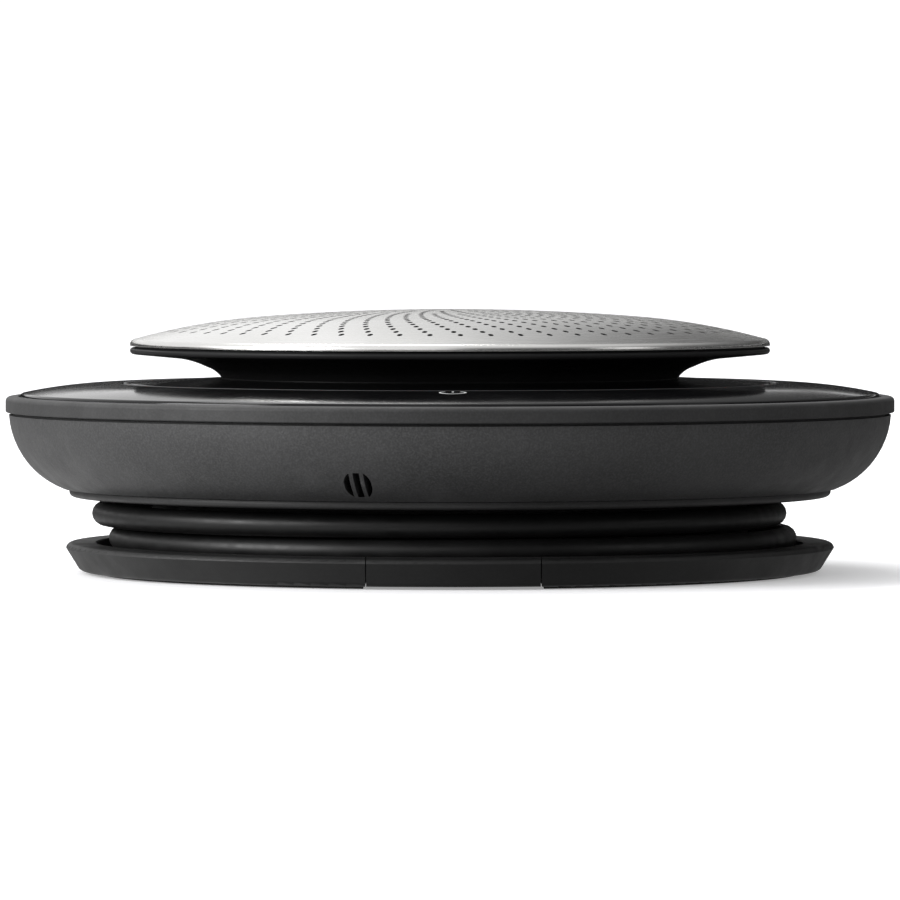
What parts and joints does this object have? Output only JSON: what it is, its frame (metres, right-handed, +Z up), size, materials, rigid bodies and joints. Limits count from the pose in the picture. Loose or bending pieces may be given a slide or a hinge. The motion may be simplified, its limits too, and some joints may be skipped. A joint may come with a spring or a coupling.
{
  "type": "conference speakerphone",
  "caption": "Round desk speakerphone: perforated steel dome on a flared neck, gloss touch ring, dark bowl, wound USB lead in the base groove, fold-out stand below.",
  "frame": {"origin": "centre of the footprint on the table, on the axis of the body", "axes": "+Z up along the axis of the body, -Y the front where the plug's grip closes the base rim, +X to the right seen from the front"},
  "size_m": [0.133, 0.133, 0.0394],
  "materials": {
    "satin_steel": "satin brushed stainless steel, fine radial grain",
    "acoustic_cloth": "fine black acoustic cloth",
    "gloss_black": "black, semi-gloss",
    "black_steel": "black stamped steel",
    "zinc_steel": "zinc-plated steel",
    "ferrite": "sintered ferrite, dark grey",
    "copper": "enamelled copper wire",
    "cone_paper": "black treated pulp",
    "spider_cloth": "impregnated cloth, corrugated",
    "soft_rubber": "black moulded rubber",
    "foam": "black foam gasket",
    "touch_gloss": "black piano gloss",
    "light_guide": "smoked translucent plastic",
    "circuit_board": "green solder mask",
    "structural_plastic": "black glass-filled plastic",
    "soft_band": "dark grey soft-touch",
    "bowl_grey": "dark grey fine-textured plastic",
    "battery_foil": "lithium cell in foil sleeve",
    "cover_black": "black textured plastic",
    "cast_ballast": "cast steel weight",
    "base_black": "black satin plastic, glossy rim top",
    "foot_rubber": "black non-slip rubber",
    "stand_black": "black satin plastic",
    "pin_steel": "ground steel",
    "lead_black": "black cable jacket, slight sheen",
    "plug_black": "black overmould, satin",
    "plug_metal": "nickel-plated steel",
    "plug_insulator": "black insulator",
    "screw_steel": "black-zinc steel",
    "led_body": "white light-emitting diode package"
  },
  "bodies": {
    "housing": {"ballast": "cast_ballast", "band": "soft_band", "base_disc": "base_black", "base_screw_1": "screw_steel", "base_screw_2": "screw_steel", "base_screw_3": "screw_steel", "base_screw_4": "screw_steel", "battery": "battery_foil", "bottom_cover": "cover_black", "bowl": "bowl_grey", "case_screw_1": "screw_steel", "case_screw_2": "screw_steel", "case_screw_3": "screw_steel", "case_screw_4": "screw_steel", "driver_basket": "black_steel", "driver_gasket": "foam", "driver_screw_1": "screw_steel", "driver_screw_2": "screw_steel", "driver_screw_3": "screw_steel", "driver_screw_4": "screw_steel", "foot_ring": "foot_rubber", "grille_cloth": "acoustic_cloth", "grille_dome": "satin_steel", "head_housing": "gloss_black", "inner_trim": "touch_gloss", "lead": "lead_black", "lead_gland": "lead_black", "light_ring": "light_guide", "magnet": "ferrite", "main_board": "circuit_board", "mic_boot": "soft_rubber", "mic_capsule": "zinc_steel", "plug_grip": "plug_black", "plug_shell": "plug_metal", "plug_sleeve": "lead_black", "plug_tongue": "plug_insulator", "shield_can": "zinc_steel", "spider": "spider_cloth", "spool_hub": "cover_black", "status_led_1": "led_body", "status_led_2": "led_body", "status_led_3": "led_body", "status_led_4": "led_body", "surround": "soft_rubber", "top_deck": "structural_plastic", "top_plate": "zinc_steel", "touch_board": "circuit_board", "touch_panel": "touch_gloss", "yoke": "zinc_steel"},
    "cone_assembly": {"cone": "cone_paper", "dust_cap": "cone_paper", "voice_coil": "copper"},
    "stand": {"kickstand": "stand_black", "hinge_pin_left": "pin_steel", "hinge_pin_right": "pin_steel", "stand_grip": "foot_rubber"}
  },
  "joints": [
    {"name": "cone_excursion", "type": "slide", "parent": "housing", "child": "cone_assembly", "axis": [0, 0, 1], "range_m": [-0.0012, 0.0012], "stiffness_N_per_m": 1000, "deforming": ["surround", "spider"]},
    {"name": "kickstand_fold", "type": "hinge", "parent": "housing", "child": "stand", "pos_m": [0, 0.007, 0.00265], "axis": [-1, 0, 0], "range_deg": [0, 75]}
  ]
}
